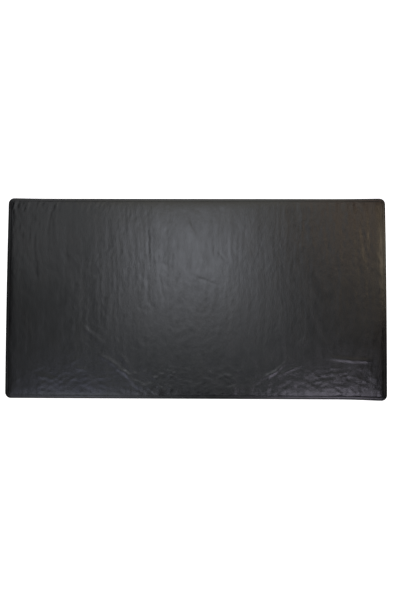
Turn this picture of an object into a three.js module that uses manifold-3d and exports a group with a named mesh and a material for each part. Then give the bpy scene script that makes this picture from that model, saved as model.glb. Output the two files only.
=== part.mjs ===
// Turned-edge leather desk mat, in millimetres.
// The origin is the middle of the underside. +X runs along the long side,
// +Y points away from the person at the desk and +Z points up.
//
// From the desk upwards: suede backing, adhesive, filler board inside the turned hem,
// adhesive, core board, adhesive, foam, adhesive, leather. The leather wraps the edge
// and turns under the core. One seam runs round the mat through every layer.

import * as THREE from "three";
import { mergeVertices } from "three/addons/utils/BufferGeometryUtils.js";
import Module from "manifold-3d";

// Outline of the finished mat
const MAT_LENGTH = 855;
const MAT_DEPTH = 450;
const CORNER_RADIUS = 13;
const SMALLEST_RADIUS = 3;
const CORNER_SEGMENTS = 6;

// Layer thicknesses, all whole eighths of a millimetre so that touching faces agree exactly
const BACKING = 0.75;
const ADHESIVE = 0.125;
const HEM = 0.75;
const BOARD = 1;
const FOAM = 1;
const LEATHER = 1;

// Height of the top of each layer above the desk
const BACKING_TOP = BACKING;
const HEM_BOTTOM = BACKING_TOP + ADHESIVE;
const HEM_TOP = HEM_BOTTOM + HEM;
const BOARD_BOTTOM = HEM_TOP + ADHESIVE;
const BOARD_TOP = BOARD_BOTTOM + BOARD;
const FOAM_BOTTOM = BOARD_TOP + ADHESIVE;
const FOAM_TOP = FOAM_BOTTOM + FOAM;
const LEATHER_BOTTOM = FOAM_TOP + ADHESIVE;
const MAT_TOP = LEATHER_BOTTOM + LEATHER;

// Leather: rolled edge, skived border and puffed middle panel
const BORDER_TOP = MAT_TOP - 0.375;
const EDGE_ROLL_WIDTH = 2.5;
const EDGE_ROLL_HEIGHT = 1.75;
const WALL = 1;
const PANEL_INSET = 8.5;
const PANEL_RADIUS = 24;
const PANEL_SLOPE = 10;
const PANEL_ROOT = 0.5;
const HEM_WIDTH = 16;

// Core stack inside the leather
const CORE_GAP = 0.3;
const CORE_ROLL_WIDTH = 1.25;
const CORE_ROLL_HEIGHT = 1;
const ROLL_SEGMENTS = 5;

// Backing
const BACKING_INSET = 3;

// Seam
const SEAM_INSET = 6.5;
const GROOVE_WIDTH = 1.25;
const TOP_GROOVE_DEPTH = 0.375;
const BACKING_GROOVE_DEPTH = 0.5;
const THREAD = 0.5;
const THREAD_BEVEL = 0.15;
const THREAD_SEGMENTS = 2;
const BOBBIN_THREAD = 0.375;
const THREAD_CLEARANCE = 0.0625;

const wasm = await Module();
wasm.setup();

// Rounded rectangle that lies `inset` inside the outline of the mat.
function insetOutline(inset, radius = Math.max(CORNER_RADIUS - inset, SMALLEST_RADIUS)) {
  const halfLength = MAT_LENGTH / 2 - inset;
  const halfDepth = MAT_DEPTH / 2 - inset;
  const cx = halfLength - radius;
  const cy = halfDepth - radius;
  const shape = new THREE.Shape();
  shape.moveTo(halfLength, -cy);
  shape.absarc(cx, cy, radius, 0, Math.PI / 2, false);
  shape.absarc(-cx, cy, radius, Math.PI / 2, Math.PI, false);
  shape.absarc(-cx, -cy, radius, Math.PI, Math.PI * 1.5, false);
  shape.absarc(cx, -cy, radius, Math.PI * 1.5, Math.PI * 2, false);
  return shape;
}

// Flat sheet between two heights, with square edges.
function sheet(shape, bottom, top) {
  const geometry = new THREE.ExtrudeGeometry(shape, {
    depth: top - bottom,
    bevelEnabled: false,
    curveSegments: CORNER_SEGMENTS,
  });
  return geometry.translate(0, 0, bottom);
}

// Flat sheet between two heights, whose edges are rolled over at the top and the bottom.
function rolledSheet(shape, bottom, top, rollWidth, rollHeight, segments = ROLL_SEGMENTS) {
  const geometry = new THREE.ExtrudeGeometry(shape, {
    depth: top - bottom - 2 * rollHeight,
    bevelEnabled: true,
    bevelThickness: rollHeight,
    bevelSize: rollWidth,
    bevelOffset: -rollWidth,
    bevelSegments: segments,
    curveSegments: CORNER_SEGMENTS,
  });
  return geometry.translate(0, 0, bottom + rollHeight);
}

// Band of the given width that runs round the mat, centred on the seam line.
function seamBand(width) {
  const shape = insetOutline(SEAM_INSET - width / 2);
  shape.holes.push(insetOutline(SEAM_INSET + width / 2));
  return shape;
}

// Thread of the given thickness that follows the seam all the way round.
function thread(thickness, bottom) {
  return rolledSheet(
    seamBand(thickness),
    bottom,
    bottom + thickness,
    THREAD_BEVEL,
    THREAD_BEVEL,
    THREAD_SEGMENTS,
  );
}

function solid(geometry) {
  const plain = new THREE.BufferGeometry();
  plain.setAttribute("position", geometry.getAttribute("position"));
  const merged = mergeVertices(plain, 1e-4);
  return new wasm.Manifold(
    new wasm.Mesh({
      numProp: 3,
      vertProperties: merged.getAttribute("position").array,
      triVerts: new Uint32Array(merged.index.array),
    }),
  );
}

function geometryOf(body) {
  const mesh = body.getMesh();
  const geometry = new THREE.BufferGeometry();
  geometry.setAttribute("position", new THREE.BufferAttribute(mesh.vertProperties, 3));
  geometry.setIndex(new THREE.BufferAttribute(mesh.triVerts, 1));
  geometry.computeVertexNormals();
  return geometry;
}

// Materials

function smoothLeather() {
  return new THREE.MeshStandardMaterial({ color: 0x1d1d1f, roughness: 0.48, metalness: 0 });
}

function foam() {
  return new THREE.MeshStandardMaterial({ color: 0x3a3a3c, roughness: 0.9, metalness: 0 });
}

function leatherFibreBoard() {
  return new THREE.MeshStandardMaterial({ color: 0x6b4a33, roughness: 0.8, metalness: 0 });
}

function greyBoard() {
  return new THREE.MeshStandardMaterial({ color: 0x8d8a83, roughness: 0.85, metalness: 0 });
}

function microsuede() {
  return new THREE.MeshStandardMaterial({ color: 0x26262a, roughness: 0.95, metalness: 0 });
}

function blackThread() {
  return new THREE.MeshStandardMaterial({ color: 0x141416, roughness: 0.6, metalness: 0 });
}

function adhesiveFilm() {
  return new THREE.MeshStandardMaterial({ color: 0xcfc3a0, roughness: 0.4, metalness: 0 });
}

// Sub-parts

// Cover: border with a rolled edge, puffed panel, hem turned under, pressed seam groove.
function leatherCover() {
  const border = solid(
    rolledSheet(insetOutline(0), HEM_BOTTOM, BORDER_TOP, EDGE_ROLL_WIDTH, EDGE_ROLL_HEIGHT),
  );
  const panelBottom = BORDER_TOP - PANEL_ROOT;
  const panel = solid(
    rolledSheet(
      insetOutline(PANEL_INSET, PANEL_RADIUS),
      panelBottom,
      MAT_TOP,
      PANEL_SLOPE,
      MAT_TOP - BORDER_TOP,
    ),
  );
  const pocket = solid(
    rolledSheet(insetOutline(WALL), HEM_TOP, LEATHER_BOTTOM, CORE_ROLL_WIDTH, CORE_ROLL_HEIGHT),
  );
  const hemWindow = solid(sheet(insetOutline(HEM_WIDTH), HEM_BOTTOM - 1, HEM_TOP + 1));
  const groove = solid(sheet(seamBand(GROOVE_WIDTH), BORDER_TOP - TOP_GROOVE_DEPTH, MAT_TOP + 1));
  return geometryOf(
    border.add(panel).subtract(pocket).subtract(hemWindow).subtract(groove),
  );
}

// One layer of the core, cut from the shape that the leather is wrapped round.
function coreLayer(bottom, top) {
  const core = solid(
    rolledSheet(
      insetOutline(WALL + CORE_GAP),
      HEM_TOP,
      LEATHER_BOTTOM,
      CORE_ROLL_WIDTH,
      CORE_ROLL_HEIGHT,
    ),
  );
  const layer = solid(sheet(insetOutline(0), bottom, top));
  return geometryOf(core.intersect(layer));
}

function foamPadding() {
  return coreLayer(FOAM_BOTTOM, FOAM_TOP);
}

function coreBoard() {
  return coreLayer(BOARD_BOTTOM, BOARD_TOP);
}

function leatherAdhesive() {
  return coreLayer(FOAM_TOP, LEATHER_BOTTOM);
}

function foamAdhesive() {
  return coreLayer(BOARD_TOP, FOAM_BOTTOM);
}

function coreAdhesive() {
  return coreLayer(HEM_TOP, BOARD_BOTTOM);
}

// Filler: as thick as the hem and laid inside it, so that the underside is level.
function fillerSheet() {
  return sheet(insetOutline(HEM_WIDTH + CORE_GAP), HEM_BOTTOM, HEM_TOP);
}

function backingAdhesive() {
  return sheet(insetOutline(BACKING_INSET + CORE_GAP), BACKING_TOP, HEM_BOTTOM);
}

// Backing: covers the raw edge of the hem; the seam draws a groove into it.
function backingSheet() {
  const cloth = solid(sheet(insetOutline(BACKING_INSET), 0, BACKING_TOP));
  const groove = solid(sheet(seamBand(GROOVE_WIDTH), -1, BACKING_GROOVE_DEPTH));
  return geometryOf(cloth.subtract(groove));
}

// Needle thread: the upper thread of the seam, in the groove of the leather.
function needleThread() {
  const bottom = BORDER_TOP - TOP_GROOVE_DEPTH + THREAD_CLEARANCE;
  return thread(THREAD, bottom);
}

// Bobbin thread: the lower thread of the seam, drawn up into the backing.
function bobbinThread() {
  return thread(BOBBIN_THREAD, THREAD_CLEARANCE);
}

function piece(name, geometry, material) {
  const mesh = new THREE.Mesh(geometry, material);
  mesh.name = name;
  return mesh;
}

const mat = new THREE.Group();
mat.name = "desk_mat";
mat.add(piece("leather_cover", leatherCover(), smoothLeather()));
mat.add(piece("leather_adhesive", leatherAdhesive(), adhesiveFilm()));
mat.add(piece("foam_padding", foamPadding(), foam()));
mat.add(piece("foam_adhesive", foamAdhesive(), adhesiveFilm()));
mat.add(piece("core_board", coreBoard(), leatherFibreBoard()));
mat.add(piece("core_adhesive", coreAdhesive(), adhesiveFilm()));
mat.add(piece("filler_sheet", fillerSheet(), greyBoard()));
mat.add(piece("backing_adhesive", backingAdhesive(), adhesiveFilm()));
mat.add(piece("backing_sheet", backingSheet(), microsuede()));
mat.add(piece("needle_thread", needleThread(), blackThread()));
mat.add(piece("bobbin_thread", bobbinThread(), blackThread()));

export default mat;
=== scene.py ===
import math

import bpy
import numpy as np
from mathutils import Matrix, Vector


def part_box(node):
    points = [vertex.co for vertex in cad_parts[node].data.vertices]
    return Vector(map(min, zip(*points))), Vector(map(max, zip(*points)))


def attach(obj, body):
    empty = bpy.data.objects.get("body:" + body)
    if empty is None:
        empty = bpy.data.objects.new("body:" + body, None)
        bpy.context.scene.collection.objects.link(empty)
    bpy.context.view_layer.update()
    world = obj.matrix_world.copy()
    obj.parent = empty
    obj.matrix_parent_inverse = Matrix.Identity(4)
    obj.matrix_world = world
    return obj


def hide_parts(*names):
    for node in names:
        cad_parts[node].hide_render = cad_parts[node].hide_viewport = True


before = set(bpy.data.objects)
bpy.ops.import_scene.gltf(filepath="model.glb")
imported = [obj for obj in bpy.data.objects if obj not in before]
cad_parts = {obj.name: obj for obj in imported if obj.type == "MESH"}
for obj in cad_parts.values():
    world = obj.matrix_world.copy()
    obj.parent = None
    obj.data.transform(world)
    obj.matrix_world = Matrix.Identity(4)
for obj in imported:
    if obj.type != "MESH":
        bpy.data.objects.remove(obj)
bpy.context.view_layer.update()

MM = 0.001

# ---------------------------------------------------------------- sizes, in millimetres

COVER_LOW, COVER_HIGH = [[value / MM for value in corner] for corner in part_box("leather_cover")]
BACKING_LOW, BACKING_HIGH = [[value / MM for value in corner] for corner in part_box("backing_sheet")]
FOAM_LOW, FOAM_HIGH = [[value / MM for value in corner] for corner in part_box("foam_padding")]
THREAD_LOW, THREAD_HIGH = [[value / MM for value in corner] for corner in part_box("needle_thread")]
BOBBIN_LOW, BOBBIN_HIGH = [[value / MM for value in corner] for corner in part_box("bobbin_thread")]

HALF_LENGTH = COVER_HIGH[0]
HALF_DEPTH = COVER_HIGH[1]
MAT_TOP = COVER_HIGH[2]
HEM_BOTTOM = COVER_LOW[2]
CORNER_RADIUS = 13.0
PARALLEL_DEPTH = 9.0     # contours run parallel to the outline this far in from the edge

SEAM_INSET = HALF_LENGTH - THREAD_HIGH[0] + (THREAD_HIGH[2] - THREAD_LOW[2]) / 2
BACKING_INSET = HALF_LENGTH - BACKING_HIGH[0]
FOAM_INSET = HALF_LENGTH - FOAM_HIGH[0]
HEM_WIDTH = 16.0
HEM_THICKNESS = 0.745    # of the skived leather of the hem
FRAME_INSET = 24.0       # the even grid of a face starts this far inside the edge
STITCH = 5.3             # length of one stitch, from needle hole to needle hole
CORNER_STITCHES = 6      # stitches between the last ones of two sides
CORNER_STEPS = 12        # mesh steps round the arc of a corner
CORNER_LEAD = 4          # mesh steps on the straight on each side of that arc

# ---------------------------------------------------------------- outline


def stations(step):
    """Lines of the inner grid in X and Y, and a function place(inset, radius).

    place gives the points of the contour at that inset whose corners have that radius,
    anticlockwise from the lower left corner of the grid. Point n of one contour faces
    point n of any other, so contours join up as rings.
    """
    span_x = 2 * (HALF_LENGTH - FRAME_INSET)
    span_y = 2 * (HALF_DEPTH - FRAME_INSET)
    count_x = 2 * round(span_x / (2 * step))
    count_y = 2 * round(span_y / (2 * step))
    grid_x = np.linspace(-span_x / 2, span_x / 2, count_x + 1)
    grid_y = np.linspace(-span_y / 2, span_y / 2, count_y + 1)

    def corner(inset, radius, sign_x, sign_y):
        """Points of one corner, from its own X side to its own Y side."""
        edge_x = HALF_LENGTH - inset
        edge_y = HALF_DEPTH - inset
        lead = np.linspace(0, 1, CORNER_LEAD + 1)[1:] * (FRAME_INSET - inset - radius)
        first_y = HALF_DEPTH - FRAME_INSET + lead
        last_x = HALF_LENGTH - FRAME_INSET + lead[::-1]
        turn = np.linspace(0, math.pi / 2, CORNER_STEPS + 1)[1:-1]
        xs = np.concatenate([
            np.full(CORNER_LEAD, edge_x),
            edge_x - radius + radius * np.cos(turn),
            last_x,
        ])
        ys = np.concatenate([
            first_y,
            edge_y - radius + radius * np.sin(turn),
            np.full(CORNER_LEAD, edge_y),
        ])
        return np.stack([sign_x * xs, sign_y * ys], axis=1)

    def place(inset, radius):
        edge_x = HALF_LENGTH - inset
        edge_y = HALF_DEPTH - inset
        low = np.stack([grid_x, np.full_like(grid_x, -edge_y)], axis=1)
        right = np.stack([np.full_like(grid_y, edge_x), grid_y], axis=1)
        high = np.stack([grid_x[::-1], np.full_like(grid_x, edge_y)], axis=1)
        left = np.stack([np.full_like(grid_y, -edge_x), grid_y[::-1]], axis=1)
        return np.concatenate([
            low, corner(inset, radius, 1, -1)[::-1],
            right, corner(inset, radius, 1, 1),
            high, corner(inset, radius, -1, 1)[::-1],
            left, corner(inset, radius, -1, -1),
        ])

    return grid_x, grid_y, place


def corner_radius(inset):
    """Parallel curves near the edge, then tighter until the grid's square corner."""
    if inset <= PARALLEL_DEPTH:
        return CORNER_RADIUS - inset
    left_over = (FRAME_INSET - inset) / (FRAME_INSET - PARALLEL_DEPTH)
    return (CORNER_RADIUS - PARALLEL_DEPTH) * left_over


GRID_X, GRID_Y, contour_at = stations(STITCH / 2)
PANEL_STEP_X = GRID_X[1] - GRID_X[0]
PANEL_STEP_Y = GRID_Y[1] - GRID_Y[0]

# ---------------------------------------------------------------- relief of the leather


class Relief:
    """Smooth random field over the mat, the same on every run."""

    STEP = 1.2
    MARGIN = 40.0

    def __init__(self, seed, length_x, length_y):
        count_x = int(2 * (HALF_LENGTH + self.MARGIN) / self.STEP)
        count_y = int(2 * (HALF_DEPTH + self.MARGIN) / self.STEP)
        white = np.random.default_rng(seed).standard_normal((count_y, count_x))
        wave_x = np.fft.fftfreq(count_x, self.STEP)
        wave_y = np.fft.fftfreq(count_y, self.STEP)
        blur = np.exp(-2 * (math.pi ** 2) * (
            (wave_x[None, :] * length_x) ** 2 + (wave_y[:, None] * length_y) ** 2
        ))
        field = np.fft.ifft2(np.fft.fft2(white) * blur).real
        self.field = (field - field.mean()) / field.std()

    def __call__(self, x, y):
        rows, columns = self.field.shape
        u = np.clip((x + HALF_LENGTH + self.MARGIN) / self.STEP, 0, columns - 1.001)
        v = np.clip((y + HALF_DEPTH + self.MARGIN) / self.STEP, 0, rows - 1.001)
        i = u.astype(int)
        j = v.astype(int)
        a = u - i
        b = v - j
        f = self.field
        low = f[j, i] * (1 - a) + f[j, i + 1] * a
        high = f[j + 1, i] * (1 - a) + f[j + 1, i + 1] * a
        return low * (1 - b) + high * b


def smooth(low, high, value):
    t = np.clip((value - low) / (high - low), 0, 1)
    return t * t * (3 - 2 * t)


# Each field by its seed and the length of its features along X and Y.
WARP = Relief(11, 60, 60)
STREAKS = Relief(12, 2.0, 20)
BROAD_STREAKS = Relief(13, 10, 60)
SWELL = Relief(14, 45, 70)
MOTTLE = Relief(15, 1.8, 3.2)
FOLDS = Relief(16, 4.5, 1.8)
FOLD_PATCHES = Relief(17, 30, 24)
PUCKERS = Relief(18, 1.0, 7)
WIGGLE = Relief(19, 5, 5)

# Heights by which the fields stand out of the leather.
STREAK_HEIGHT = 0.027
BROAD_STREAK_HEIGHT = 0.038
MOTTLE_HEIGHT = 0.028
SWELL_HEIGHT = 0.12
FOLD_HEIGHT = 0.075
PUCKER_HEIGHT = 0.10
HIGHEST_WRINKLE = 0.6

CREASE_BEND = 0.0010     # millimetres sideways per square millimetre along a crease

# Single creases: middle x, middle y, length, direction in degrees, half width, height and
# how far the crease wanders sideways.
CREASES = [
    (-9, 171, 30, 102, 2.4, -0.34, 0.3),
    (24, 38, 60, 160, 2.6, -0.26, 0.4),
    (-108, 112, 84, 93, 2.6, -0.20, 0.7),
    (-88, 78, 36, 175, 2.4, -0.18, 0.6),
    (-79, 30, 54, 101, 2.4, -0.20, 0.7),
    (44, 116, 28, 80, 2.4, -0.20, 0.5),
    (58, 96, 22, 130, 2.4, -0.18, 0.5),
    (-333, 180, 62, 79, 3.0, -0.28, 0.4),
    (-286, 208, 22, 65, 2.2, -0.18, 0.3),
    (-293, 125, 110, 88, 7.0, -0.26, 1.2),
    (-363, 70, 64, 95, 5.0, -0.26, 1.0),
    (347, -138, 78, 175, 3.8, 0.85, 0.3),
    (168, -170, 34, 24, 3.4, 0.42, 0.4),
    (186, -158, 60, 40, 2.8, 0.26, 0.4),
    (205, -163, 60, 24, 2.8, 0.24, 0.5),
    (232, -104, 46, 47, 4.0, 0.16, 0.8),
    (-228, -88, 68, 140, 4.8, 0.28, 1.3),
    (-184, -151, 82, 145, 4.8, 0.42, 1.4),
    (-143, -186, 74, 143, 4.4, 0.38, 1.3),
    (-152, -152, 60, 130, 4.6, 0.22, 0.9),
    (-112, -199, 50, 150, 4.2, 0.34, 0.9),
    (-256, -160, 26, 160, 3.2, 0.42, 0.6),
    (-338, -179, 36, 164, 4.8, 0.54, 0.8),
    (-274, -142, 44, 25, 4.0, 0.22, 0.9),
    (-400, -184, 18, 40, 3.2, 0.20, 0.9),
]


def crease(x, y, middle_x, middle_y, length, degrees, half_width, height, wander):
    angle = math.radians(degrees)
    along = (x - middle_x) * math.cos(angle) + (y - middle_y) * math.sin(angle)
    across = (y - middle_y) * math.cos(angle) - (x - middle_x) * math.sin(angle)
    bend = CREASE_BEND * along ** 2 + wander * WIGGLE(x, y)
    ridge = np.exp(-((across + bend) / half_width) ** 2 - (2 * along / length) ** 4)
    return height * ridge * (0.9 + 0.2 * wander * WIGGLE(-x, y))


def edge_distance(x, y):
    return np.minimum(HALF_LENGTH - np.abs(x), HALF_DEPTH - np.abs(y))


def grain_strength(x, y):
    """Calmer right of the middle and at the front left corner, coarser at the back corners."""
    calm_middle = 0.3 * smooth(50, 110, x) * smooth(330, 260, x)
    calm_corner = 0.45 * smooth(-270, -340, x) * smooth(-60, -120, y)
    coarse_right = 0.55 * smooth(270, 330, x) * smooth(-60, 20, y)
    coarse_back = (0.9 * smooth(170, 260, x) + 0.5 * smooth(-240, -340, x)) * smooth(80, 140, y)
    return 1 - calm_middle - calm_corner + coarse_right + coarse_back


def front_folds(x, y):
    """Short folds along the front edge, in two directions that cross."""
    front_zone = (1.6 - 0.7 * smooth(60, 150, np.abs(x))) * smooth(-140, -176, y)
    front_zone = front_zone * smooth(-405, -330, x)
    patches = 0.75 + 0.25 * FOLD_PATCHES(x, y)
    along = np.abs(x) - 280
    folds = FOLDS(x, y + 30 - 0.25 * along) + 0.8 * FOLDS(-x, y + 30 + 0.45 * along)
    return front_zone * patches * folds


def panel_relief(x, y):
    """Height of the natural wrinkles of the leather over its even face."""
    lean = x + 1.6 * WARP(x, y) - 0.1 * np.minimum(y + 60, 0) * x / HALF_LENGTH
    grain = (
        STREAK_HEIGHT * STREAKS(lean, y)
        + BROAD_STREAK_HEIGHT * BROAD_STREAKS(lean, y)
        + MOTTLE_HEIGHT * MOTTLE(lean, y)
    )
    relief = grain_strength(x, y) * grain + SWELL_HEIGHT * SWELL(x, y)
    relief = relief + FOLD_HEIGHT * front_folds(x, y)
    for one in CREASES:
        relief = relief + crease(x, y, *one)
    return HIGHEST_WRINKLE * np.tanh(relief / HIGHEST_WRINKLE)


def edge_puckers(x, y):
    """Short slanted puckers that the turned edge pulls into the left of the back border."""
    zone = smooth(HALF_DEPTH - 36, HALF_DEPTH - 16, y) * smooth(-130, -230, x)
    return PUCKER_HEIGHT * zone * PUCKERS(x - 0.45 * (y - HALF_DEPTH), y)


SIDE_BOW = 1.1           # how far the left and right sides bow out in their middle
BACK_FLARE = 1.2         # how far the back corners stand out over the back edge
FRONT_FLARE = 2.6        # the same for the front right corner
FLARE_REACH = 58.0       # how far along the edge that reaches


def stray(points):
    """Moves the points near the edge by the outline's shift, fading out inside."""
    x, y = points[:, 0], points[:, 1]
    fade = 1 - smooth(4, 60, edge_distance(x, y))
    bow = SIDE_BOW * (1 - np.clip(np.abs(y) / HALF_DEPTH, 0, 1) ** 2)
    near_side = np.exp(-((HALF_LENGTH - np.abs(x)) / FLARE_REACH) ** 2)
    flare = np.where(y > 0, BACK_FLARE, FRONT_FLARE * smooth(-300, 300, x))
    moved = points.copy()
    moved[:, 0] += fade * np.sign(x) * bow * smooth(90, 20, HALF_LENGTH - np.abs(x))
    spread = 1.0 + flare * near_side
    moved[:, 1] += fade * np.sign(y) * spread * smooth(60, 10, HALF_DEPTH - np.abs(y))
    return moved


# ---------------------------------------------------------------- meshes


def mesh_object(name, vertices_mm, faces, sharp_degrees=50):
    mesh = bpy.data.meshes.new(name)
    mesh.from_pydata((np.asarray(vertices_mm) * MM).tolist(), [], faces)
    mesh.validate()
    mesh.update()
    mesh.shade_smooth()
    mesh.set_sharp_from_angle(angle=math.radians(sharp_degrees))
    made = bpy.data.objects.new(name, mesh)
    bpy.context.scene.collection.objects.link(made)
    return made


def ring_faces(first, second, count):
    """Quads between two closed rows of vertices that start at those indices."""
    return [
        (first + i, second + i, second + (i + 1) % count, first + (i + 1) % count)
        for i in range(count)
    ]


# Border of the cover: it falls from the puffed panel to the seam, then tilts down to the roll.
PANEL_RISE = 0.56        # height of the panel above the seam
RISE_WIDTH = 8.0         # how soon the panel rises inside the seam
EDGE_TILT = 0.075        # fall per millimetre from the seam out to the roll
SEAM_DIP = 0.08          # how deep the stitches pull the leather in
SEAM_WIDTH = 0.8         # of the groove's inner flank; the outer one is twice as wide
NEEDLE_PUCKER = 0.08     # how much deeper the leather is at a needle hole
NEEDLE_REACH = 1.6       # how far from the seam that is felt
ROLL_WIDTH = 3.8
ROLL_STEPS = 16
ROLL_POWER = 0.85        # below 1 the roll is fuller than an ellipse
LEATHER_THICKNESS = 0.99
LEVELLING = 40.0         # the border's last bit of rise is spread over this width of the panel
WRINKLE_FADE = (3.0, 13.0)   # insets between which the wrinkles die out towards the edge

# Insets of the mesh rows from the panel out to the roll, closest together at the seam.
TOP_INSETS = (
    21, 18, 15.5, 13.5, 12, 10.8, 9.8, 9, 8.4, 7.9, 7.5, 7.2, 6.9, 6.5, 6.1, 5.8, 5.5, 5, 4.4,
)

SEAM_LEVEL = MAT_TOP - PANEL_RISE
GROOVE_FLOOR = SEAM_LEVEL - SEAM_DIP


def border_height(inset):
    """Top of the leather between the roll and the puffed panel, without the groove."""
    if inset < SEAM_INSET:
        return SEAM_LEVEL - EDGE_TILT * (SEAM_INSET - inset)
    return MAT_TOP - PANEL_RISE * math.exp(-(inset - SEAM_INSET) / RISE_WIDTH)


def cover_profile():
    """Rows of (inset, height): down to the edge, round it, under the hem, and back inside."""
    top = []
    for inset in TOP_INSETS:
        flank = SEAM_WIDTH if inset > SEAM_INSET else 2 * SEAM_WIDTH
        groove = SEAM_DIP * math.exp(-((inset - SEAM_INSET) / flank) ** 2)
        top.append((inset, border_height(inset) - groove))
    roll_top = border_height(ROLL_WIDTH)
    middle = (HEM_BOTTOM + roll_top) / 2
    half_height = (roll_top - HEM_BOTTOM) / 2
    roll = []
    for turn in np.linspace(90, -90, ROLL_STEPS + 1):
        angle = math.radians(turn)
        roll.append((
            ROLL_WIDTH * (1 - math.cos(angle) ** ROLL_POWER),
            middle + half_height * math.sin(angle),
        ))
    hem_middle = 9.0
    hem = [(hem_middle, HEM_BOTTOM), (HEM_WIDTH, HEM_BOTTOM)]
    hem_top = HEM_BOTTOM + HEM_THICKNESS
    underside = MAT_TOP - LEATHER_THICKNESS
    inside = [
        (HEM_WIDTH, hem_top), (hem_middle, hem_top), (2.6, hem_top),
        (1.5, 1.9), (1.1, 2.5), (1.1, 3.1), (1.5, 3.7), (2.6, underside),
    ]
    return top, roll, hem, inside


def shell(name, step, face_height, profile, face_up=True):
    """Closed body: an even grid for its main face, then rings along a profile.

    face_height(x, y) is the height of the grid. profile is a list of (inset, height)
    from the face over the edge and back inside, where height is a number or a function
    of (x, y). The last ring is closed by one flat face.
    """
    grid_x, grid_y, place = stations(step)
    gx, gy = np.meshgrid(grid_x, grid_y)
    columns, rows = len(grid_x), len(grid_y)
    points = np.stack([gx.ravel(), gy.ravel()], axis=1)
    vertices = [np.column_stack([stray(points), face_height(points[:, 0], points[:, 1])])]
    faces = []
    for j in range(rows - 1):
        for i in range(columns - 1):
            a = j * columns + i
            faces.append((a, a + 1, a + 1 + columns, a + columns))

    # The grid's border, with a corner's vertex repeated for all the stations that meet there.
    corner_points = 2 * CORNER_LEAD + CORNER_STEPS - 1
    low = list(range(columns))
    right = [j * columns + columns - 1 for j in range(rows)]
    high = [(rows - 1) * columns + i for i in range(columns)][::-1]
    left = [j * columns for j in range(rows)][::-1]
    border = []
    for side in (low, right, high, left):
        border += side + [side[-1]] * corner_points
    count = len(border)

    start = len(points)
    for inset, height in profile:
        flat = place(inset, max(corner_radius(inset), 0.0))
        if callable(height):
            level = height(flat[:, 0], flat[:, 1])
        else:
            level = np.full(count, height)
        vertices.append(np.column_stack([stray(flat), level]))
    for i in range(count):
        n = (i + 1) % count
        face = tuple(dict.fromkeys((border[i], start + i, start + n, border[n])))
        if len(face) > 2:
            faces.append(face)
    for k in range(len(profile) - 1):
        first = start + k * count
        faces += ring_faces(first, first + count, count)
    last = start + (len(profile) - 1) * count
    faces.append(tuple(range(last, last + count))[::-1])
    if not face_up:
        faces = [face[::-1] for face in faces]
    return mesh_object(name, np.concatenate(vertices), faces)


def needle_holes(x, y):
    """1 at the needle holes of a straight side, 0 half way between them and on the corners."""
    along_x = np.cos(math.pi * (x + HALF_LENGTH - FRAME_INSET) / PANEL_STEP_X)
    along_y = np.cos(math.pi * (y + HALF_DEPTH - FRAME_INSET) / PANEL_STEP_Y)
    on_x = np.abs(x) < HALF_LENGTH - FRAME_INSET + 0.1
    on_y = np.abs(y) < HALF_DEPTH - FRAME_INSET + 0.1
    return 0.5 + 0.5 * np.where(on_x, along_x, np.where(on_y, along_y, -1.0))


def leather_cover():
    border_level = border_height(FRAME_INSET)

    def panel(x, y):
        rise = smooth(FRAME_INSET, FRAME_INSET + LEVELLING, edge_distance(x, y))
        level = border_level + (MAT_TOP - border_level) * rise
        return level + panel_relief(x, y) + edge_puckers(x, y)

    def wrinkled(inset, z):
        share = float(smooth(*WRINKLE_FADE, inset))
        near_seam = math.exp(-((inset - SEAM_INSET) / NEEDLE_REACH) ** 2)

        def height(x, y):
            pucker = NEEDLE_PUCKER * near_seam * needle_holes(x, y)
            return z + share * (panel_relief(x, y) + edge_puckers(x, y)) - pucker

        return height

    top, roll, hem, inside = cover_profile()
    profile = [(inset, wrinkled(inset, z)) for inset, z in top] + roll + hem + inside
    return shell("cover", STITCH / 2, panel, profile)


BACKING_GROOVE = 0.46    # how far the seam draws the backing in
BOBBIN_BED = 0.44        # height of the groove's floor that the lower thread lies against


def suede_backing():
    """Lies on the desk, drawn in along the seam, with a cut edge just short of the roll."""
    edge = BACKING_INSET
    thickness = BACKING_HIGH[2]

    def groove(depth):
        return lambda x, y: depth * (0.8 + 0.2 * needle_holes(x, y))

    seam = [
        (SEAM_INSET + 1.1, groove(0.03)), (SEAM_INSET + 0.55, groove(0.24)),
        (SEAM_INSET, groove(BACKING_GROOVE)),
        (SEAM_INSET - 0.55, groove(0.24)), (SEAM_INSET - 1.1, groove(0.03)),
    ]
    cut_edge = [
        (edge + 1.2, 0.0), (edge + 0.4, 0.05), (edge + 0.1, 0.2), (edge, 0.4),
        (edge + 0.1, thickness - 0.05), (edge + 0.5, thickness),
    ]
    profile = [(16, 0.0), (9.5, 0.0)] + seam + cut_edge + [(12, thickness)]
    return shell("backing", STITCH, lambda x, y: np.zeros_like(x), profile, face_up=False)


def foam_pad():
    """Foam sheet, pressed thin along the seam and round at the edge."""
    edge = FOAM_INSET
    low = FOAM_LOW[2]
    high = FOAM_HIGH[2]

    def pressed(depth):
        return lambda x, y: high - depth * (0.7 + 0.3 * needle_holes(x, y))

    seam = [
        (SEAM_INSET + 1.5, pressed(0.25)), (SEAM_INSET, pressed(0.5)),
        (SEAM_INSET - 1.5, pressed(0.25)),
    ]
    round_edge = [
        (edge + 2.4, high - 0.12), (edge + 1.1, high - 0.3), (edge + 0.5, high - 0.6),
        (edge + 0.5, low + 0.1), (edge + 0.8, low),
    ]
    profile = [(15, high - 0.02), (10, high - 0.08)] + seam + round_edge + [(12, low)]
    return shell("foam", STITCH, lambda x, y: np.full_like(x, high), profile)


# ---------------------------------------------------------------- stitches


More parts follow.
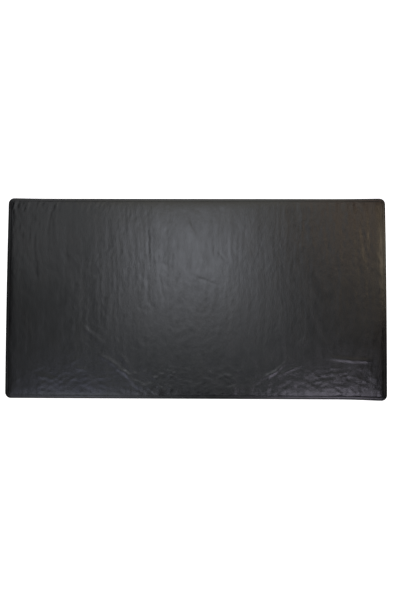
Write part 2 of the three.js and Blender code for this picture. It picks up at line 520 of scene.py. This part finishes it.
def seam_holes():
    """Needle holes round the mat as (x, y), anticlockwise from the lower left."""
    contour = contour_at(SEAM_INSET, corner_radius(SEAM_INSET))
    contour = np.vstack([contour, contour[:1]])
    travel = np.concatenate([[0], np.cumsum(np.linalg.norm(np.diff(contour, axis=0), axis=1))])
    side_x = GRID_X[-1] - GRID_X[0]
    side_y = GRID_Y[-1] - GRID_Y[0]
    corner = (travel[-1] - 2 * side_x - 2 * side_y) / 4
    sides = ((side_x, (len(GRID_X) - 1) // 2), (side_y, (len(GRID_Y) - 1) // 2))
    marks = []
    start = 0.0
    for length, count in sides * 2:
        marks += list(start + length * np.arange(count) / count)
        start += length
        marks += list(start + corner * np.arange(CORNER_STITCHES) / CORNER_STITCHES)
        start += corner
    x = np.interp(marks, travel, contour[:, 0])
    y = np.interp(marks, travel, contour[:, 1])
    return stray(np.stack([x, y], axis=1))


STITCH_GAP = 0.44        # between the ends of two stitches, at the needle hole they share
STITCH_TAPER = 0.25      # how much thinner a stitch is at its ends
STITCH_DIVE = 1.5        # how far its ends go down, in thread radii
PLY_RELIEF = 0.10        # how far the two plies stand out of a round thread
PLY_TWIST = 7.0          # radians of twist over half a stitch


def stitches(name, bed, radius, sides, rings, up):
    """Row of lock stitches. bed is the height the thread lies on, up is 1 or -1."""
    holes = seam_holes()
    count = len(holes)
    following = np.roll(holes, -1, axis=0)
    middle = (holes + following) / 2
    span = following - holes
    length = np.linalg.norm(span, axis=1)
    tangent = span / length[:, None]
    normal = np.stack([-tangent[:, 1], tangent[:, 0]], axis=1)
    reach = np.linspace(-1, 1, rings)
    turns = np.linspace(0, 2 * math.pi, sides, endpoint=False)
    rng = np.random.default_rng(21)
    slant = rng.normal(0.05, 0.02, count)
    lift = rng.normal(0, 0.02, count)
    vertices = []
    for r in reach:
        dive = abs(r) ** 5
        size = radius * (1 - STITCH_TAPER * dive)
        for turn in turns:
            ply = 1 + PLY_RELIEF * math.cos(2 * turn - PLY_TWIST * r)
            sideways = size * ply * math.cos(turn)
            upright = size * ply * math.sin(turn)
            along = r * (length - STITCH_GAP) / 2
            offset = (sideways + slant * r)[:, None] * normal
            xy = middle + along[:, None] * tangent + offset
            z = bed + up * (radius + lift - STITCH_DIVE * radius * dive + upright)
            vertices.append(np.column_stack([xy, np.broadcast_to(z, (count,))]))
    faces = []

    def index(ring, side, stitch):
        return (ring * sides + side % sides) * count + stitch

    for stitch in range(count):
        for ring in range(rings - 1):
            for side in range(sides):
                faces.append((
                    index(ring, side, stitch), index(ring, side + 1, stitch),
                    index(ring + 1, side + 1, stitch), index(ring + 1, side, stitch),
                ))
        faces.append(tuple(index(0, side, stitch) for side in range(sides))[::-1])
        faces.append(tuple(index(rings - 1, side, stitch) for side in range(sides)))
    if up < 0:
        faces = [face[::-1] for face in faces]
    return mesh_object(name, np.concatenate(vertices), faces, sharp_degrees=80)


# ---------------------------------------------------------------- materials


class Recipe:
    """Node material built step by step round one Principled shader."""

    def __init__(self, name, **constants):
        self.material = bpy.data.materials.new(name)
        self.material.use_nodes = True
        self.nodes = self.material.node_tree.nodes
        self.links = self.material.node_tree.links
        self.shader = self.nodes["Principled BSDF"]
        self.bumps = []
        self.place = self.nodes.new("ShaderNodeTexCoord").outputs["Object"]
        for socket, value in constants.items():
            self.shader.inputs[socket.replace("_", " ")].default_value = value

    def stretched(self, x_mm, y_mm, z_mm):
        """Coordinates in which one unit is that many millimetres along each axis."""
        node = self.nodes.new("ShaderNodeMapping")
        node.inputs["Scale"].default_value = (1 / (x_mm * MM), 1 / (y_mm * MM), 1 / (z_mm * MM))
        self.links.new(self.place, node.inputs["Vector"])
        return node.outputs["Vector"]

    def noise(self, x_mm, y_mm, detail=2.0, distortion=0.0):
        node = self.nodes.new("ShaderNodeTexNoise")
        node.inputs["Scale"].default_value = 1.0
        node.inputs["Detail"].default_value = detail
        node.inputs["Distortion"].default_value = distortion
        self.links.new(self.stretched(x_mm, y_mm, x_mm), node.inputs["Vector"])
        return node.outputs["Fac"]

    def cells(self, x_mm, y_mm, feature):
        node = self.nodes.new("ShaderNodeTexVoronoi")
        node.feature = feature
        node.inputs["Scale"].default_value = 1.0
        self.links.new(self.stretched(x_mm, y_mm, x_mm), node.inputs["Vector"])
        return node.outputs["Distance"]

    def band(self, value, low, high, out_low=0.0, out_high=1.0):
        """Maps value from low..high to out_low..out_high, held at the ends."""
        node = self.nodes.new("ShaderNodeMapRange")
        node.inputs["From Min"].default_value = low
        node.inputs["From Max"].default_value = high
        node.inputs["To Min"].default_value = out_low
        node.inputs["To Max"].default_value = out_high
        self.links.new(value, node.inputs["Value"])
        return node.outputs["Result"]

    def blend(self, first, second, share):
        """Sum of two values: that share of the first and the rest of the second."""
        whole = self.nodes.new("ShaderNodeMath")
        whole.operation = "ADD"
        for value, factor, socket in zip((first, second), (share, 1 - share), whole.inputs):
            part = self.nodes.new("ShaderNodeMath")
            part.operation = "MULTIPLY"
            part.inputs[1].default_value = factor
            self.links.new(value, part.inputs[0])
            self.links.new(part.outputs["Value"], socket)
        return whole.outputs["Value"]

    def colours(self, value, *stops):
        """Colour by value; each stop is (position, (r, g, b))."""
        node = self.nodes.new("ShaderNodeValToRGB")
        ramp = node.color_ramp
        while len(ramp.elements) < len(stops):
            ramp.elements.new(0.5)
        for element, (position, colour) in zip(ramp.elements, stops):
            element.position = position
            element.color = (*colour, 1)
        self.links.new(value, node.inputs["Fac"])
        self.links.new(node.outputs["Color"], self.shader.inputs["Base Color"])

    def roughness(self, value):
        self.links.new(value, self.shader.inputs["Roughness"])

    def bump(self, height, depth_mm):
        """Adds relief: a height of 1 stands depth_mm above a height of 0."""
        node = self.nodes.new("ShaderNodeBump")
        node.inputs["Strength"].default_value = 1.0
        node.inputs["Distance"].default_value = depth_mm * MM
        self.links.new(height, node.inputs["Height"])
        if self.bumps:
            self.links.new(self.bumps[-1].outputs["Normal"], node.inputs["Normal"])
        self.bumps.append(node)
        self.links.new(node.outputs["Normal"], self.shader.inputs["Normal"])


def smooth_leather():
    recipe = Recipe("smooth_black_leather", Specular_IOR_Level=0.5)
    wrinkles = recipe.noise(3.2, 9.0, detail=3.0, distortion=0.6)
    fine_wrinkles = recipe.noise(1.1, 2.6, detail=4.0, distortion=1.2)
    pores = recipe.cells(0.75, 0.75, "F1")
    patches = recipe.noise(55.0, 80.0, detail=4.0)
    burnish = recipe.noise(14.0, 30.0, detail=3.0)
    recipe.colours(
        recipe.blend(patches, burnish, 0.7),
        (0.30, (0.0042, 0.0042, 0.0050)),
        (0.52, (0.0065, 0.0065, 0.0070)),
        (0.72, (0.0100, 0.0092, 0.0086)),
    )
    recipe.roughness(recipe.band(burnish, 0.3, 0.7, 0.14, 0.22))
    recipe.bump(wrinkles, 0.06)
    recipe.bump(fine_wrinkles, 0.02)
    recipe.bump(pores, 0.022)
    return recipe.material


def microsuede():
    recipe = Recipe(
        "black_microsuede", Specular_IOR_Level=0.2, Sheen_Weight=0.55, Sheen_Roughness=0.5
    )
    nap = recipe.noise(30.0, 45.0, detail=3.0, distortion=1.2)
    fibres = recipe.noise(0.35, 0.9, detail=4.0)
    recipe.colours(
        recipe.blend(nap, fibres, 0.6),
        (0.35, (0.020, 0.020, 0.022)),
        (0.60, (0.046, 0.046, 0.050)),
    )
    recipe.roughness(recipe.band(nap, 0.3, 0.7, 0.86, 0.97))
    recipe.bump(fibres, 0.10)
    recipe.bump(recipe.noise(1.8, 2.6), 0.06)
    return recipe.material


def waxed_thread():
    recipe = Recipe("black_waxed_thread", Specular_IOR_Level=0.45)
    fibres = recipe.noise(0.12, 0.12, detail=3.0)
    wear = recipe.noise(6.0, 6.0)
    recipe.colours(
        recipe.blend(fibres, wear, 0.5),
        (0.35, (0.004, 0.004, 0.005)),
        (0.65, (0.012, 0.012, 0.013)),
    )
    recipe.roughness(recipe.band(fibres, 0.3, 0.7, 0.42, 0.62))
    recipe.bump(fibres, 0.04)
    return recipe.material


def foam_skin():
    recipe = Recipe("grey_foam", Specular_IOR_Level=0.3)
    cells = recipe.cells(0.5, 0.5, "F1")
    cloud = recipe.noise(12.0, 12.0, detail=3.0)
    recipe.colours(cloud, (0.3, (0.040, 0.040, 0.043)), (0.7, (0.075, 0.075, 0.080)))
    recipe.roughness(recipe.band(cells, 0.1, 0.6, 0.95, 0.8))
    recipe.bump(cells, 0.15)
    return recipe.material


def pressed_board(name, dark, light, fleck_mm):
    recipe = Recipe(name, Specular_IOR_Level=0.35)
    flecks = recipe.noise(fleck_mm, fleck_mm * 2.2, detail=5.0, distortion=0.8)
    cloud = recipe.noise(25.0, 40.0, detail=3.0)
    recipe.colours(
        recipe.blend(flecks, cloud, 0.6),
        (0.35, dark),
        (0.65, light),
    )
    recipe.roughness(recipe.band(cloud, 0.3, 0.7, 0.72, 0.88))
    recipe.bump(flecks, 0.06)
    return recipe.material


def adhesive_film():
    recipe = Recipe("amber_adhesive_film", Specular_IOR_Level=0.5)
    swirl = recipe.noise(18.0, 9.0, detail=4.0, distortion=1.5)
    recipe.colours(swirl, (0.3, (0.45, 0.36, 0.18)), (0.7, (0.66, 0.57, 0.36)))
    recipe.roughness(recipe.band(swirl, 0.3, 0.7, 0.28, 0.5))
    recipe.bump(swirl, 0.05)
    return recipe.material


# ---------------------------------------------------------------- pieces of the mat


def dress(piece, material, slot, *replaced):
    piece.data.materials.append(material)
    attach(piece, "root")
    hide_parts(*replaced)
    return piece


def redress(node, material):
    """New material on a CAD node whose shape stays."""
    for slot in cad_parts[node].material_slots:
        slot.material = material


NEEDLE_THREAD_RADIUS = 0.27
BOBBIN_THREAD_RADIUS = 0.18

thread = waxed_thread()
cover = dress(leather_cover(), smooth_leather(), "leather", "leather_cover")
foam = dress(foam_pad(), foam_skin(), "foam", "foam_padding")
backing = dress(suede_backing(), microsuede(), "microsuede", "backing_sheet")
dress(
    stitches("top_stitches", GROOVE_FLOOR, NEEDLE_THREAD_RADIUS, 10, 9, up=1),
    thread, "thread", "needle_thread",
)
dress(
    stitches("bottom_stitches", BOBBIN_BED, BOBBIN_THREAD_RADIUS, 8, 7, up=-1),
    thread, "thread", "bobbin_thread",
)

film = adhesive_film()
for film_node in ("leather_adhesive", "foam_adhesive", "core_adhesive", "backing_adhesive"):
    redress(film_node, film)
redress("core_board", pressed_board(
    "brown_fibre_board", (0.10, 0.050, 0.027), (0.20, 0.105, 0.058), 1.2))
redress("filler_sheet", pressed_board(
    "grey_filler_board", (0.21, 0.20, 0.18), (0.33, 0.32, 0.29), 0.7))


# ---------------------------------------------------------------- studio, in metres

FLOOR_REACH = 30.0
FLOOR_LEVEL = -0.0003    # just under the mat, so that their faces don't share a plane


def stage_floor():
    mesh = bpy.data.meshes.new("floor")
    reach = FLOOR_REACH
    mesh.from_pydata(
        [(-reach, -reach, 0), (reach, -reach, 0), (reach, reach, 0), (-reach, reach, 0)],
        [], [(0, 1, 2, 3)],
    )
    floor = bpy.data.objects.new("floor", mesh)
    floor.location = (0, 0, FLOOR_LEVEL)
    bpy.context.scene.collection.objects.link(floor)
    material = bpy.data.materials.new("pale_floor")
    material.use_nodes = True
    shader = material.node_tree.nodes["Principled BSDF"]
    shader.inputs["Base Color"].default_value = (0.86, 0.86, 0.86, 1)
    shader.inputs["Roughness"].default_value = 0.9
    shader.inputs["Emission Color"].default_value = (1, 1, 1, 1)
    shader.inputs["Emission Strength"].default_value = 0.9
    mesh.materials.append(material)


stage_floor()


def softbox(name, place, target, size_x, size_y, radiance, color=(1, 1, 1)):
    """Flat lamp of a given brightness per unit area, aimed at a point."""
    lamp = bpy.data.lights.new(name, "AREA")
    lamp.shape = "RECTANGLE"
    lamp.size = size_x
    lamp.size_y = size_y
    lamp.energy = radiance * math.pi * size_x * size_y
    lamp.color = color
    made = bpy.data.objects.new(name, lamp)
    made.location = place
    aim = Vector(target) - Vector(place)
    made.rotation_euler = aim.to_track_quat("-Z", "Y").to_euler()
    bpy.context.scene.collection.objects.link(made)


def overhead(name, place, size, radiance, color=(1, 1, 1)):
    """Lamp panel hung level. Panels that cover each other hang at different heights."""
    softbox(name, place, (place[0], place[1], 0), *size, radiance, color)


def room():
    """Pale round the horizon and dim overhead, where the lamps hang."""
    world = bpy.data.worlds.new("room")
    world.use_nodes = True
    nodes = world.node_tree.nodes
    links = world.node_tree.links
    direction = nodes.new("ShaderNodeTexCoord")
    height = nodes.new("ShaderNodeSeparateXYZ")
    brightness = nodes.new("ShaderNodeValToRGB")
    links.new(direction.outputs["Generated"], height.inputs[0])
    links.new(height.outputs["Z"], brightness.inputs[0])
    stops = brightness.color_ramp.elements
    stops[0].position = 0.05
    stops[0].color = (0.62, 0.62, 0.62, 1)
    stops[1].position = 0.9
    stops[1].color = (0.016, 0.017, 0.018, 1)
    for position, level in ((0.35, 0.30), (0.6, 0.08)):
        stops.new(position).color = (level, level, level, 1)
    links.new(brightness.outputs["Color"], nodes["Background"].inputs["Color"])
    bpy.context.scene.world = world


def studio():
    """Level panels that the leather reflects, and four large softboxes.

    The strengths and colours of ten panels started from a least-squares fit to the
    photo's tones, run outside this script.
    """
    room()
    overhead("glow_core", (-0.10, 0.45, 2.96), (0.55, 0.45), 2.4, (0.83, 0.88, 1))
    overhead("glow_small", (-0.06, 0.42, 2.98), (0.96, 0.8), 1.15, (0.96, 0.95, 1))
    overhead("glow_medium", (-0.12, 0.18, 3.00), (1.4, 1.5), 0.24, (0.8, 0.9, 1))
    overhead("glow_back", (0.0, 1.35, 2.94), (1.3, 1.1), 1.05, (1, 0.98, 0.85))
    overhead("ceiling", (-0.12, 0.7, 3.04), (2.30, 2.6), 0.35, (0.96, 0.98, 0.97))
    overhead("ceiling_left", (-1.05, 1.1, 3.02), (0.64, 1.5), 0.73, (0.94, 0.96, 1))
    overhead("ceiling_right", (0.85, 1.0, 3.02), (0.25, 1.1), 1.7, (1, 0.74, 0.54))
    overhead("ceiling_far_right", (1.3, 1.0, 3.02), (0.25, 1.1), 1.6, (1, 0.68, 0.46))
    overhead("side_right", (1.08, 0.24, 2.92), (0.5, 0.5), 0.48, (1, 0.84, 0.70))
    overhead("side_left", (-1.20, -0.15, 2.92), (0.6, 0.9), 0.16, (0.90, 0.95, 1))
    overhead("front_middle", (-0.20, -0.04, 2.92), (0.8, 0.3), 0.26, (0.90, 0.95, 1))
    overhead("left_fill", (-0.70, -0.95, 3.00), (0.84, 0.70), 1.8, (0.88, 0.93, 1))
    overhead("left_fill_near", (-0.80, -0.55, 2.98), (0.6, 0.3), 1.4, (0.62, 0.64, 1))
    overhead("right_fill", (0.70, -0.64, 3.00), (0.64, 0.44), 4.2, (0.88, 0.82, 1))
    overhead("warm_side", (1.90, 0.48, 2.98), (1.4, 0.40), 2.8, (1, 0.86, 0.60))
    softbox("right_softbox", (3.2, 0.6, 3.0), (0, 0, 0), 3.0, 2.0, 0.3, (1, 0.96, 0.90))
    softbox("left_softbox", (-3.2, 0.6, 3.0), (0, 0, 0), 3.0, 2.0, 0.1)
    softbox("front_softbox", (0, -3.4, 3.0), (0, 0, 0), 5.0, 2.0, 1.0)
    softbox("back_softbox", (0, 3.4, 3.0), (0, 0, 0), 5.0, 2.0, 1.5)
    bpy.context.scene.view_settings.view_transform = "Standard"


studio()

# ---------------------------------------------------------------- camera

SENSOR_WIDTH = 36        # millimetres
CAMERA_AIM = (0.0105, -0.0055, 0.004)
CAMERA_DISTANCE = 1.8
CAMERA_TILT = 3.55       # degrees from straight down, towards the front edge
CAMERA_LEAN = 0.84       # degrees from straight down, towards the right edge
CAMERA_ROLL = 0.22
VIEW_WIDTH = 0.9030      # metres across the frame at the mat


def camera():
    data = bpy.data.cameras.new("camera")
    data.sensor_fit = "HORIZONTAL"
    data.sensor_width = SENSOR_WIDTH
    data.lens = SENSOR_WIDTH * CAMERA_DISTANCE / VIEW_WIDTH
    made = bpy.data.objects.new("camera", data)
    turn = Matrix.Rotation(math.radians(CAMERA_TILT), 4, "X")
    turn = Matrix.Rotation(math.radians(CAMERA_LEAN), 4, "Y") @ turn
    made.location = Vector(CAMERA_AIM) + turn @ Vector((0, 0, CAMERA_DISTANCE))
    made.rotation_euler = (turn @ Matrix.Rotation(math.radians(CAMERA_ROLL), 4, "Z")).to_euler()
    bpy.context.scene.collection.objects.link(made)
    bpy.context.scene.camera = made


camera()
